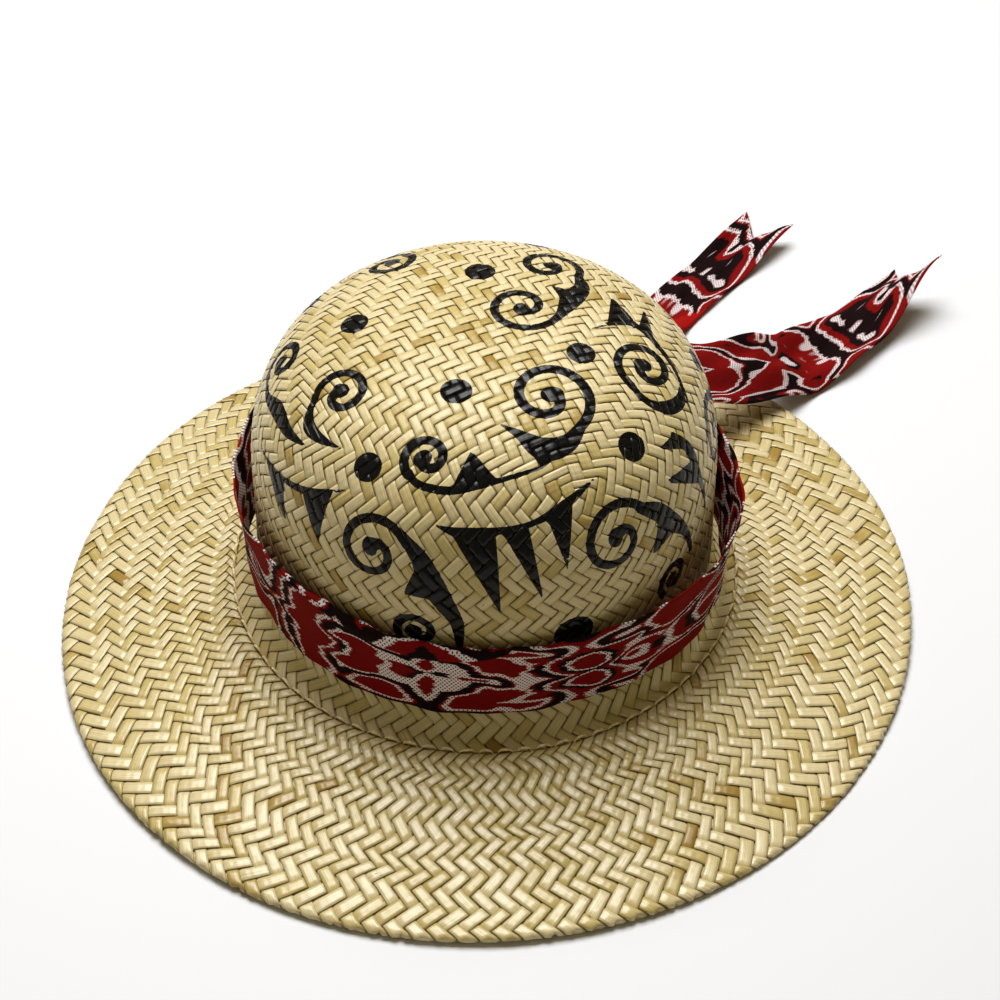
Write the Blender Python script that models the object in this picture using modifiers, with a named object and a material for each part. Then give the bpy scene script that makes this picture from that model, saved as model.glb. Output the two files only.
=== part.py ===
# A woven straw sun hat with a round crown, a sloping brim and a tied cloth band.
# Metres, +Z up. The hat's axis is Z, and its brim edge rests on the plane Z = 0.

import math

import bmesh
import bpy
from mathutils import Matrix, Vector

# Straw body
crown_radius = 0.0932
collar_flare = 0.0108
brim_width = 0.074
brim_slope = math.radians(12.3)
crown_taper = 0.0007
crown_depth = 0.1252
dome_height = 0.0716
dome_squareness = 2.9
collar_height = 0.015
straw_thickness = 0.0018

# Turned brim edge
binding_thickness = 0.0012
binding_lip = 0.006
binding_nose = 0.0035
hem_width = 0.020
rest_width = 0.004
nose_undercut = 0.0015

# Inner band and the thread that holds it
sweatband_height = 0.034
sweatband_thickness = 0.001
thread_diameter = 0.0009

# Cloth band, its knot and its two loose tails
ribbon_width = 0.036
ribbon_thickness = 0.0016
ribbon_clearance = 0.0005
ribbon_above_seam = 0.0125
knot_angle = math.radians(50)
knot_depth = 0.014
knot_breadth = 0.026
knot_height = 0.026
tail_clearance = 0.001
tail_width = 0.032
tail_root_width = 0.014
tail_root_gap = 0.003
tail_flare_length = 0.045
tail_thickness = 0.0016
tail_drop_below_knot = 0.005
tail_fall_length = 0.105
tail_above_brim = 0.0045
tail_notch = 0.013
left_tail_length = 0.180
left_tail_heading = math.radians(66)
left_tail_bend = math.radians(-20)
right_tail_length = 0.187
right_tail_heading = math.radians(47)
right_tail_bend = math.radians(25)

# Fits and facets
piece_gap = 0.0003
turn_steps = 64
dome_steps = 10
wall_steps = 2
collar_steps = 4
nose_steps = 4
brim_steps = 2
tail_steps = 18
tail_columns = 4
thread_sides = 6
knot_segments = 20
knot_rings = 12
merge_distance = 0.00001
smooth_angle = math.radians(40)

# Places and heights that several pieces share
seam_radius = crown_radius + collar_flare
brim_radius = seam_radius + brim_width
tail_spacing = tail_root_width + tail_root_gap
slope_rise = math.tan(brim_slope)
brim_depth = straw_thickness / math.cos(brim_slope)
rest_outer = brim_radius - nose_undercut
rest_inner = rest_outer - rest_width
brim_end = brim_radius - binding_nose


def brim_bottom(radius):
    """Height of the brim's underside, which the turned edge lies under."""
    return binding_thickness + piece_gap + (rest_inner - radius) * slope_rise


def brim_top(radius):
    """Height of the brim's upper side."""
    return brim_bottom(radius) + brim_depth


seam_height = brim_top(seam_radius)
crown_top = seam_height + crown_depth
dome_base = crown_top - dome_height
collar_top = seam_height + collar_height
collar_reach = seam_radius - piece_gap / 2 - crown_radius
ribbon_bottom = seam_height + ribbon_above_seam
ribbon_middle = ribbon_bottom + ribbon_width / 2
ribbon_inner = crown_radius + ribbon_clearance
ribbon_outer = ribbon_inner + ribbon_thickness
knot_radius = ribbon_outer + piece_gap + knot_depth / 2
tail_root_radius = knot_radius + knot_depth / 2 + tail_clearance
tail_root_height = ribbon_middle - tail_drop_below_knot

hat_collection = bpy.data.collections.new("straw_sun_hat")


def clear_scene():
    for thing in list(bpy.data.objects):
        bpy.data.objects.remove(thing, do_unlink=True)
    bpy.context.scene.collection.children.link(hat_collection)


def make_material(name, color, roughness, metallic=0.0):
    material = bpy.data.materials.new(name)
    material.use_nodes = True
    shader = material.node_tree.nodes["Principled BSDF"]
    shader.inputs["Base Color"].default_value = (*color, 1.0)
    shader.inputs["Roughness"].default_value = roughness
    shader.inputs["Metallic"].default_value = metallic
    material.diffuse_color = (*color, 1.0)
    return material


def add_object(name, mesh, material, origin=(0, 0, 0), parent=None):
    mesh.shade_smooth()
    mesh.set_sharp_from_angle(angle=smooth_angle)
    mesh.materials.append(material)
    thing = bpy.data.objects.new(name, mesh)
    thing.location = origin
    thing.parent = parent
    hat_collection.objects.link(thing)
    return thing


def turned_piece(name, profile, material, ring=True, parent=None):
    """Turn a section, given as (radius, height) points, once round the Z axis."""
    points = [(radius, 0, height) for radius, height in profile]
    edges = [(index, index + 1) for index in range(len(points) - 1)]
    if ring:
        edges.append((len(points) - 1, 0))
    mesh = bpy.data.meshes.new(name)
    mesh.from_pydata(points, edges, [])
    mesh.materials.append(material)
    thing = bpy.data.objects.new(name, mesh)
    thing.parent = parent
    hat_collection.objects.link(thing)
    screw = thing.modifiers.new("turn", "SCREW")
    screw.angle = math.tau
    screw.steps = turn_steps
    screw.render_steps = turn_steps
    screw.use_merge_vertices = True
    screw.merge_threshold = merge_distance
    screw.use_smooth_shade = True
    return thing


def inset(profile, distance):
    """Move an open outline to its inner side, square to its own direction."""
    moved = []
    for index, (radius, height) in enumerate(profile):
        before = profile[max(index - 1, 0)]
        after = profile[min(index + 1, len(profile) - 1)]
        along = Vector((after[0] - before[0], after[1] - before[1])).normalized()
        inner = Vector((radius, height)) + distance * Vector((along.y, -along.x))
        moved.append((inner.x, inner.y))
    return moved


def dome_outline():
    """Rounded-square dome, from the top of the crown down to its wall."""
    power = 2 / dome_squareness
    dome_radius = crown_radius - crown_taper
    outline = []
    for step in range(dome_steps + 1):
        angle = math.pi / 2 * (1 - step / dome_steps)
        across = math.cos(angle) ** power if step else 0.0
        outline.append((dome_radius * across, dome_base + dome_height * math.sin(angle) ** power))
    return outline


def wall_outline():
    """The wall below the dome, which widens slightly down to the collar."""
    outline = []
    for step in range(1, wall_steps + 1):
        share = step / wall_steps
        radius = crown_radius - crown_taper * (1 - share)
        outline.append((radius, dome_base + (collar_top - dome_base) * share))
    return outline


def collar_outline():
    """The curve at the crown's foot, where the wall turns out to the brim."""
    outline = []
    for step in range(1, collar_steps + 1):
        angle = math.pi / 2 * step / collar_steps
        radius = crown_radius + collar_reach * (1 - math.cos(angle))
        outline.append((radius, collar_top - collar_height * math.sin(angle)))
    return outline


def make_crown(material):
    outer = dome_outline() + wall_outline() + collar_outline()
    inner = inset(outer, straw_thickness)
    inner[0] = (0.0, crown_top - straw_thickness)
    inner[-1] = (outer[-1][0], seam_height - straw_thickness)
    turned_piece("crown", outer + inner[::-1], material, ring=False)


def make_brim(material):
    start = seam_radius + piece_gap / 2
    radii = [start + (brim_end - start) * step / brim_steps for step in range(brim_steps + 1)]
    upper = [(radius, brim_top(radius)) for radius in radii]
    lower = [(radius, brim_bottom(radius)) for radius in reversed(radii)]
    turned_piece("brim", upper + lower, material)


def make_brim_edge(material):
    """The turned edge: a lip over the brim, a round nose and a hem under it."""
    lip_start = brim_radius - binding_lip
    slot_end = brim_end + piece_gap
    nose_top = brim_top(slot_end) + piece_gap + binding_thickness
    outline = [(lip_start, brim_top(lip_start) + piece_gap + binding_thickness)]
    for step in range(nose_steps + 1):
        angle = math.pi / 2 - math.pi * step / nose_steps
        reach = brim_radius - slot_end if step < nose_steps else rest_outer - slot_end
        across = max(math.cos(angle), 0.0)
        height = nose_top / 2 * (1 + math.sin(angle))
        outline.append((slot_end + reach * across, height))
    outline[-1] = (rest_outer, 0.0)
    hem_start = brim_radius - hem_width
    outline.append((rest_inner, 0.0))
    outline.append((hem_start, brim_bottom(hem_start) - piece_gap - binding_thickness))
    outline.append((hem_start, brim_bottom(hem_start) - piece_gap))
    outline.append((slot_end, brim_bottom(slot_end) - piece_gap))
    outline.append((slot_end, brim_top(slot_end) + piece_gap))
    outline.append((lip_start, brim_top(lip_start) + piece_gap))
    turned_piece("brim_edge", outline, material)


def make_sweatband(material):
    """The inner band, which follows the wall and turns out under the collar."""
    band_top = collar_top + sweatband_height - collar_height
    outline = [(crown_radius - crown_taper, band_top), (crown_radius, collar_top)]
    outline += collar_outline()
    outer = inset(outline, straw_thickness + piece_gap)
    inner = inset(outline, straw_thickness + piece_gap + sweatband_thickness)
    turned_piece("sweatband", outer + inner[::-1], material)


def make_seam_thread(material):
    """The stitching thread, as one plain ring that lies along the seam."""
    middle = seam_height + piece_gap + thread_diameter / 2
    outline = []
    for side in range(thread_sides):
        angle = -math.tau * side / thread_sides
        radius = seam_radius + thread_diameter / 2 * math.cos(angle)
        outline.append((radius, middle + thread_diameter / 2 * math.sin(angle)))
    turned_piece("seam_thread", outline, material)


def make_ribbon_band(material):
    top = ribbon_bottom + ribbon_width
    outline = [
        (ribbon_inner, top),
        (ribbon_outer, top),
        (ribbon_outer, ribbon_bottom),
        (ribbon_inner, ribbon_bottom),
    ]
    return turned_piece("ribbon_band", outline, material)


def make_ribbon_knot(material, parent):
    outward = Matrix.Rotation(knot_angle, 4, "Z")
    size = Matrix.Diagonal((knot_depth / 2, knot_breadth / 2, knot_height / 2, 1))
    shape = bmesh.new()
    bmesh.ops.create_uvsphere(
        shape,
        u_segments=knot_segments,
        v_segments=knot_rings,
        radius=1.0,
        matrix=outward @ size,
    )
    mesh = bpy.data.meshes.new("ribbon_knot")
    shape.to_mesh(mesh)
    shape.free()
    centre = outward @ Vector((knot_radius, 0, ribbon_middle))
    add_object("ribbon_knot", mesh, material, centre, parent)


def tail_rest_height(place):
    """Where a tail lies: along the brim's slope, then flat on the resting plane."""
    radius = math.hypot(place.x, place.y)
    on_brim = brim_top(radius) + tail_above_brim
    on_table = tail_thickness / 2 + piece_gap
    return max(on_brim, on_table)


def tail_path(root, length, heading, bend):
    """Middle line of a tail as (place, heading) pairs, bending evenly on its way."""
    place = root.copy()
    drop = root.z - tail_rest_height(root)
    path = []
    for step in range(tail_steps + 1):
        share = step / tail_steps
        direction = heading + bend * (share - 0.5)
        hanging = max(1 - share * length / tail_fall_length, 0.0) ** 2
        path.append((Vector((place.x, place.y, tail_rest_height(place) + drop * hanging)), direction))
        stride = length / tail_steps
        place = place + stride * Vector((math.cos(direction), math.sin(direction), 0))
    return path


def tail_half_width(distance):
    flare = min(distance / tail_flare_length, 1.0)
    return (tail_root_width + (tail_width - tail_root_width) * flare) / 2


def make_tail(name, side, length, heading, bend, material, parent):
    """A flat tapered strip that leaves the knot and ends in a swallow-tail notch."""
    outward = Matrix.Rotation(knot_angle, 4, "Z")
    root = outward @ Vector((tail_root_radius, side * tail_spacing / 2, tail_root_height))
    rows = tail_path(root, length, heading, bend)
    points = []
    for step, (place, direction) in enumerate(rows):
        along = Vector((math.cos(direction), math.sin(direction), 0))
        across = Vector((-along.y, along.x, 0))
        half_width = tail_half_width(length * step / tail_steps)
        for column in range(tail_columns + 1):
            offset = 2 * column / tail_columns - 1
            notch = tail_notch * (1 - abs(offset)) if step == tail_steps else 0.0
            points.append(place - root + across * half_width * offset - along * notch)
    faces = []
    for step in range(tail_steps):
        for column in range(tail_columns):
            corner = step * (tail_columns + 1) + column
            above = corner + tail_columns + 1
            faces.append((corner, above, above + 1, corner + 1))
    mesh = bpy.data.meshes.new(name)
    mesh.from_pydata(points, [], faces)
    thing = add_object(name, mesh, material, root, parent)
    solidify = thing.modifiers.new("thickness", "SOLIDIFY")
    solidify.thickness = tail_thickness
    solidify.offset = 0


def make_hat():
    straw = make_material("natural_straw", (0.62, 0.50, 0.26), 0.55)
    edge_straw = make_material("folded_straw", (0.66, 0.55, 0.31), 0.5)
    lining = make_material("inner_band_cotton", (0.55, 0.47, 0.33), 0.85)
    thread = make_material("straw_thread", (0.70, 0.60, 0.36), 0.7)
    band_cloth = make_material("printed_cotton", (0.30, 0.03, 0.02), 0.8)
    knot_cloth = make_material("knotted_cotton", (0.27, 0.025, 0.018), 0.8)
    left_cloth = make_material("left_tail_cotton", (0.33, 0.04, 0.03), 0.8)
    right_cloth = make_material("right_tail_cotton", (0.33, 0.04, 0.03), 0.8)

    make_crown(straw)
    make_brim(straw.copy())
    make_brim_edge(edge_straw)
    make_sweatband(lining)
    make_seam_thread(thread)
    band = make_ribbon_band(band_cloth)
    make_ribbon_knot(knot_cloth, band)
    make_tail(
        "ribbon_tail_left", 1, left_tail_length, left_tail_heading, left_tail_bend, left_cloth, band
    )
    make_tail(
        "ribbon_tail_right", -1, right_tail_length, right_tail_heading, right_tail_bend, right_cloth, band
    )


clear_scene()
make_hat()
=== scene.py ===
import math
import bpy
import numpy as np
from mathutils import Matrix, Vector


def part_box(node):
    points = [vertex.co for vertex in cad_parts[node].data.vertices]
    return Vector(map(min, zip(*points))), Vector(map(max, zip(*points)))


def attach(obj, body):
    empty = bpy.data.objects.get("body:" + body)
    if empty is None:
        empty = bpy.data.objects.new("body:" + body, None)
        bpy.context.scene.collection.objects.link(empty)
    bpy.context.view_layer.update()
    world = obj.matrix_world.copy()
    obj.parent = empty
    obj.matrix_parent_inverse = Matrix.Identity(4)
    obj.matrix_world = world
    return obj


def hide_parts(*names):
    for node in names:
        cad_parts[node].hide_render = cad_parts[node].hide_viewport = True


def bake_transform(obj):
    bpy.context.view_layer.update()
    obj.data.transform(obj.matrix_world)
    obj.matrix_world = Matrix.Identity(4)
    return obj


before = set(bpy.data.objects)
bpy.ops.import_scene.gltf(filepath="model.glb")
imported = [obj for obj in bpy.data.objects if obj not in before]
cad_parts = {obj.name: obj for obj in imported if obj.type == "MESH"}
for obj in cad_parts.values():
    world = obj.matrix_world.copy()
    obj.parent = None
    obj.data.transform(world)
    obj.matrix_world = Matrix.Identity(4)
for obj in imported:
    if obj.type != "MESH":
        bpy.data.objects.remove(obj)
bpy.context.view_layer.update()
chance = np.random.default_rng(41)

# sizes from the frame

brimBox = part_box("brim_edge")
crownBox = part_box("crown")
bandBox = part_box("ribbon_band")

hatShape = {
    "brimRadius": brimBox[1].x,
    "seamRadius": 0.104,
    "crownTop": crownBox[1].z,
    "wallRadius": 0.0932,        # outside of the straw just above the flare
    "domeRadius": 0.0925,        # outside of the straw where the dome starts
    "domeHeight": 0.0716,
    "squareness": 2.9,           # 2 is a plain ellipse, more is a fuller shoulder
    "flareHeight": 0.015,
    "crownDepth": 0.1252,
    "brimSlope": 12.3,           # degrees
    "sheetDepth": 0.0008,        # middle of the woven sheet below its outer face
    "hemWidth": 0.020,
    "hemDrop": 0.0017,
    "step": 0.0002,              # spacing of the points that describe the profile
}

# camera, floor and light

cameraSetup = {
    "distance": 0.95,
    "elevation": 46.03,          # degrees above the floor
    "aim": (0.0062, 0.0, 0.0518),
    "lens": 81.0,
    "sensor": 36.0,
}


def makeCamera(setup):
    tilt = math.radians(setup["elevation"])
    camera = bpy.data.objects.new("camera", bpy.data.cameras.new("camera"))
    bpy.context.scene.collection.objects.link(camera)
    far = setup["distance"]
    camera.location = (0, -far * math.cos(tilt), far * math.sin(tilt))
    view = Vector(setup["aim"]) - camera.location
    camera.rotation_euler = view.to_track_quat("-Z", "Y").to_euler()
    camera.data.lens = setup["lens"]
    camera.data.sensor_width = setup["sensor"]
    camera.data.clip_start = 0.01
    bpy.context.scene.camera = camera


lightSetup = {
    "worldColour": (1.0, 0.87, 0.48),
    "worldStrength": 0.18,
    "topPower": 28.5,
    "topSize": 1.0,
    "topPlace": (-0.10, 0.55, 1.50),
    "fillPower": 1.0,
    "fillSize": 1.2,
    "fillPlace": (-1.3, -0.9, 1.1),
    "aim": (0, 0, 0.05),
    "floorColour": (0.735, 0.745, 0.79),
    "floorHalf": 4.0,
}


def makeLight(name, place, target, power, size):
    data = bpy.data.lights.new(name, "AREA")
    data.energy = power
    data.size = size
    lamp = bpy.data.objects.new(name, data)
    bpy.context.scene.collection.objects.link(lamp)
    lamp.location = place
    view = Vector(target) - lamp.location
    lamp.rotation_euler = view.to_track_quat("-Z", "Y").to_euler()


def makeStudio(setup):
    scene = bpy.context.scene
    world = bpy.data.worlds.new("studio")
    world.use_nodes = True
    sky = world.node_tree.nodes["Background"]
    sky.inputs["Color"].default_value = (*setup["worldColour"], 1)
    sky.inputs["Strength"].default_value = setup["worldStrength"]
    scene.world = world
    scene.view_settings.view_transform = "Standard"
    scene.view_settings.look = "Medium High Contrast"
    makeLight("top_light", setup["topPlace"], setup["aim"], setup["topPower"], setup["topSize"])
    makeLight("fill_light", setup["fillPlace"], setup["aim"], setup["fillPower"], setup["fillSize"])
    mesh = bpy.data.meshes.new("floor")
    half = setup["floorHalf"]
    corners = [(-half, -half, 0), (half, -half, 0), (half, half, 0), (-half, half, 0)]
    mesh.from_pydata(corners, [], [(0, 1, 2, 3)])
    floor = bpy.data.objects.new("floor", mesh)
    scene.collection.objects.link(floor)
    material = bpy.data.materials.new("floor_white")
    material.use_nodes = True
    shader = material.node_tree.nodes["Principled BSDF"]
    shader.inputs["Base Color"].default_value = (*setup["floorColour"], 1)
    shader.inputs["Roughness"].default_value = 0.6
    mesh.materials.append(material)


makeCamera(cameraSetup)
makeStudio(lightSetup)
print("camera and studio ready")

# the hat's profile, from the top down


def hatProfile(shape):
    # radius, height and outward normal along the middle of the woven sheet, at even steps of length
    drop = shape["crownTop"] - shape["domeHeight"]
    polar = np.linspace(math.pi / 2, 0, 400)
    power = shape["squareness"]
    scale = (np.cos(polar) ** power + np.sin(polar) ** power) ** (-1 / power)
    radius = list(shape["domeRadius"] * np.cos(polar) * scale)
    height = list(drop + shape["domeHeight"] * np.sin(polar) * scale)
    seamHeight = shape["crownTop"] - shape["crownDepth"]
    flare = np.linspace(0, math.pi / 2, 60)
    reach = shape["seamRadius"] - shape["wallRadius"]
    radius += list(shape["wallRadius"] + reach * (1 - np.cos(flare)))
    height += list(seamHeight + shape["flareHeight"] * (1 - np.sin(flare)))
    slope = math.tan(math.radians(shape["brimSlope"]))
    noseRadius = shape["hemDrop"] / 2
    brimEnd = shape["brimRadius"] - noseRadius - 0.0003
    outer = np.linspace(shape["seamRadius"] + 0.0005, brimEnd, 120)
    radius += list(outer)
    height += list(seamHeight - (outer - shape["seamRadius"]) * slope)
    radius, height = np.array(radius), np.array(height)
    normal = normals(radius, height)
    radius = radius - shape["sheetDepth"] * normal[:, 0]
    height = height - shape["sheetDepth"] * normal[:, 1]
    # round the nose and back under as the hem
    turn = np.linspace(0, math.pi, 24)[1:]
    start = math.pi / 2 - math.radians(shape["brimSlope"])
    centre = (radius[-1] - noseRadius * math.cos(start), height[-1] - noseRadius * math.sin(start))
    noseR = centre[0] + noseRadius * np.cos(start - turn)
    noseZ = centre[1] + noseRadius * np.sin(start - turn)
    back = np.linspace(0, shape["hemWidth"], 40)[1:]
    hemR = noseR[-1] - back * math.cos(math.radians(shape["brimSlope"]))
    hemZ = noseZ[-1] + back * math.sin(math.radians(shape["brimSlope"]))
    radius = np.concatenate([radius, noseR, hemR])
    height = np.concatenate([height, noseZ, hemZ])
    length = np.concatenate([[0], np.cumsum(np.hypot(np.diff(radius), np.diff(height)))])
    even = np.arange(0, length[-1], shape["step"])
    radius, height = np.interp(even, length, radius), np.interp(even, length, height)
    normal = normals(radius, height)
    return {"length": even, "radius": radius, "height": height, "normal": normal}


def normals(radius, height):
    along = np.stack([np.gradient(radius), np.gradient(height)], 1)
    along /= np.linalg.norm(along, axis=1)[:, None]
    return np.stack([-along[:, 1], along[:, 0]], 1)


profile = hatProfile(hatShape)
edgeIndex = int(np.argmax(profile["radius"]))
edgeLength = profile["length"][edgeIndex]
topRadius, topLength = profile["radius"][:edgeIndex], profile["length"][:edgeIndex]
seamLength = float(np.interp(hatShape["seamRadius"], topRadius, topLength))


def skinPoint(length, angle, out):
    # a point on the woven sheet, moved out from its middle
    radius = np.interp(length, profile["length"], profile["radius"])
    height = np.interp(length, profile["length"], profile["height"])
    normalR = np.interp(length, profile["length"], profile["normal"][:, 0])
    normalZ = np.interp(length, profile["length"], profile["normal"][:, 1])
    fromSeam = (length - seamLength) / brimSway["creaseWidth"]
    out = out - brimSway["creaseDepth"] * np.exp(-(fromSeam ** 2))
    radius = radius + out * normalR
    height = height + out * normalZ
    point = np.stack([radius * np.cos(angle), radius * np.sin(angle), height], -1)
    return bendBrim(point)


brimSway = {
    "startRadius": 0.105,
    "shrink": 0.0020,            # the edge is this much inside the plain circle on average
    "shift": (0.0012, -0.0056),  # the brim's outline is a little off the crown's middle
    "oval": (0.0008, 0.0022),
    "waves": ((2, 0.0007, 200), (3, 0.0006, 25), (5, 0.0005, 215)),   # count, lift, crest in degrees
    "creaseDepth": 0.0007,
    "creaseWidth": 0.0016,
}


def bendBrim(point):
    angle = np.arctan2(point[..., 1], point[..., 0])
    radius = np.hypot(point[..., 0], point[..., 1])
    room = hatShape["brimRadius"] - brimSway["startRadius"]
    reach = np.clip((radius - brimSway["startRadius"]) / room, 0, 1.3)
    lift = 0
    for count, size, crest in brimSway["waves"]:
        lift = lift + size * (1 + np.cos(count * (angle - math.radians(crest))))
    ovalX, ovalY = brimSway["oval"]
    grow = ovalX * np.cos(2 * angle) + ovalY * np.sin(2 * angle) - brimSway["shrink"]
    outline = reach * (2 - reach) * 0.4 + reach * 0.6
    point = point.copy()
    point[..., 0] += outline * (grow * np.cos(angle) + brimSway["shift"][0])
    point[..., 1] += outline * (grow * np.sin(angle) + brimSway["shift"][1])
    point[..., 2] += lift * np.clip(reach, 0, 1) ** 2
    return point


# woven straw

weave = {
    "rise": 0.00038,             # how far a strip sits above or below the middle
    "bulge": 0.00016,            # extra lift in the middle of a float
    "shoulder": 0.96,            # rise of a float's ends, over its middle
    "swell": 0.45,               # share of the bulge at its middle
    "crown": 0.00014,            # how far a strip's edges are rolled down
    "thickness": 0.00034,
    "cover": 0.905,              # strip's width over the room it has
    "coverSpread": 0.045,
    "uvWidth": 0.005,            # width of every strip on its material
    "uvSlide": 20,               # how far apart two strips' fibres may start
}

crownWeave = {
    "halfSide": 11.5,            # half the plaited square on top, in strips
    "pitch": 0.00576,            # room for one step of the square
    "rowHeight": 0.0068,
    "turn": -20.0,               # degrees, where the middle of the first side points
    "sideBulge": 1.12,
    "meanPlace": 0.55,           # where along a side the square has its mean reach
    "blendRows": 5.0,            # rows it takes for the square to even out into rings
}

brimWeave = {
    "strips": 136,
    "start": 0.0004,             # outside the seam
    "rowHeight": 0.0056,         # at the seam
    "rowGrowth": 0.00009,        # more for each row outwards
    "wobble": 0.13,              # in strips
    "waves": ((7, 1.3, 0), (11, -0.9, 2), (4, 0.7, 4)),       # count, drift for each row, start
}

alongSteps = np.array([-0.5, -0.33, 0.0, 0.33])
acrossTop = np.array([-0.5, -0.22, 0.22, 0.5])
acrossAll = np.concatenate([acrossTop, [0.5, -0.5]])      # and back along the underside


def floatHeights(over):
    # over is +1 or -1 for each cell, and each cell has four steps
    over = np.asarray(over, float)
    before = np.concatenate([[over[0]], over[:-1]])
    border = (before + over) / 2 * (weave["rise"] + weave["bulge"])
    inside = over * weave["rise"] * weave["shoulder"]
    middle = over * (weave["rise"] + weave["bulge"] * weave["swell"])
    rows = np.stack([border, inside, middle, inside], 1)
    return rows.ravel()


def stripRing(place, along, rise, cover):
    # six points round each step of the strip; place gives their length and angle on the hat
    across = acrossAll * cover
    top = weave["thickness"] / 2 - weave["crown"] * (2 * acrossTop) ** 2
    under = np.array([-1, -1]) * weave["thickness"] / 2 - weave["crown"]
    out = np.concatenate([top, under])
    length, angle = place(along[:, None], across[None, :])
    return skinPoint(length, angle, rise[:, None] + out[None, :])


def tubeFaces(steps, around, base=0):
    # quads round a tube made of rings, and the grid of its point numbers
    index = np.arange(steps * around).reshape(steps, around) + base
    right = np.roll(index, -1, 1)
    return np.stack([index[:-1], right[:-1], right[1:], index[1:]], -1).reshape(-1, 4), index


class StripSet:
    # gathers strips and turns them into one mesh
    def __init__(self, name):
        self.name = name
        self.points, self.faces, self.tones, self.uvs = [], [], [], []
        self.count = 0

    def add(self, ring, tone, grain):
        steps, around = ring.shape[:2]
        quads, index = tubeFaces(steps, around, self.count)
        caps = np.stack([index[0][[0, 1, 2, 3]], index[-1][[3, 2, 1, 0]]])
        ends = np.stack([index[0][[5, 0, 3, 4]], index[-1][[0, 5, 4, 3]]])
        middle = ring.mean(1)
        run = np.concatenate([[0], np.cumsum(np.linalg.norm(np.diff(middle, axis=0), axis=1))])
        side = acrossAll * weave["uvWidth"]
        uv = np.stack(np.broadcast_arrays(run[:, None] + grain, side[None, :]), -1)
        self.points.append(ring.reshape(-1, 3))
        self.faces.append(quads)
        self.faces.append(ends)
        self.faces.append(caps)
        self.tones.append(np.full(steps * around, tone))
        self.uvs.append(uv.reshape(-1, 2))
        self.count += steps * around

    def build(self, material, painted=False):
        points = np.concatenate(self.points)
        faces = np.concatenate(self.faces)
        mesh = bpy.data.meshes.new(self.name)
        mesh.from_pydata(points, [], faces)
        mesh.shade_smooth()
        tone = mesh.attributes.new("tone", "FLOAT", "POINT")
        tone.data.foreach_set("value", np.concatenate(self.tones).astype(np.float32))
        if painted:
            gap = paintDistance(points)
            gap[np.arange(len(points)) % len(acrossAll) >= len(acrossTop)] = farFromPaint
            layer = mesh.attributes.new("paintGap", "FLOAT", "POINT")
            layer.data.foreach_set("value", (gap * 1000).astype(np.float32))
        corner = np.zeros(len(mesh.loops), np.int32)
        mesh.loops.foreach_get("vertex_index", corner)
        layer = mesh.uv_layers.new(name="strip")
        layer.data.foreach_set("uv", np.concatenate(self.uvs)[corner].astype(np.float32).ravel())
        mesh.materials.append(material)
        piece = bpy.data.objects.new(self.name, mesh)
        bpy.context.scene.collection.objects.link(piece)
        return piece


# places on the crown: a plaited square on top that runs out into rows round the side

halfSide = crownWeave["halfSide"]
turnSteps = 8 * halfSide
firstTurn = math.radians(crownWeave["turn"])


def squareReach(big, small):
    # length from the top for a point on the square, big along its side and small across
    share = np.clip(big / halfSide, 0, 1) ** 2
    straight = 0.5 * share * crownWeave["sideBulge"] * big
    return crownWeave["pitch"] * ((1 - 0.5 * share) * np.hypot(big, small) + straight)


def squareAngle(side, big, small):
    # direction on the hat of that point, on the side with this number
    share = np.clip(big / halfSide, 0, 1) ** 2
    local = (1 - share) * np.arctan2(small, big) + share * (math.pi / 4) * small / big
    return firstTurn + side * math.pi / 2 + local


def sideAt(p):
    # number of the side, and the place along it from its middle
    side = np.floor((p + halfSide) / (2 * halfSide))
    return side, p - 2 * halfSide * side


squareFoot = squareReach(halfSide, crownWeave["meanPlace"] * halfSide)


def placeOnTop(x, y):
    big = np.maximum(np.abs(x), np.abs(y))
    wide = np.abs(x) >= np.abs(y)
    side = np.where(wide, np.where(x > 0, 0, 2), np.where(y > 0, 1, 3))
    small = np.select([side == 0, side == 1, side == 2], [y, -x, -y], x)
    inside = big <= halfSide
    length = squareReach(big, small)
    angle = squareAngle(side, np.maximum(big, 1e-6), small)
    outLength, outAngle = placeOnSide(2 * halfSide * side + small, np.maximum(big, halfSide))
    return np.where(inside, length, outLength), np.where(inside, angle, outAngle)


def placeOnSide(p, d):
    # p goes round the crown in strips and d goes down it in rows
    edge = squareReach(halfSide, sideAt(p)[1]) - squareFoot
    down = np.maximum(d - halfSide, 0)
    fade = np.exp(-((down / crownWeave["blendRows"]) ** 2))
    length = squareFoot + edge * fade + crownWeave["rowHeight"] * down
    angle = firstTurn + 2 * math.pi * p / turnSteps
    return length, angle


def placeNearSide(p, d):
    # as placeOnSide, but a strip's edge may reach back onto the square
    length, angle = placeOnSide(p, d)
    side, small = sideAt(p)
    inside = d < halfSide
    length = np.where(inside, squareReach(d, small), length)
    return length, np.where(inside, squareAngle(side, d, small), angle)


# from the square's two directions to the place round a side and down it
sideOf = {
    0: lambda x, y: (y, x),
    1: lambda x, y: (2 * halfSide - x, y),
    2: lambda x, y: (4 * halfSide - y, -x),
    3: lambda x, y: (6 * halfSide + x, -y),
}


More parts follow.
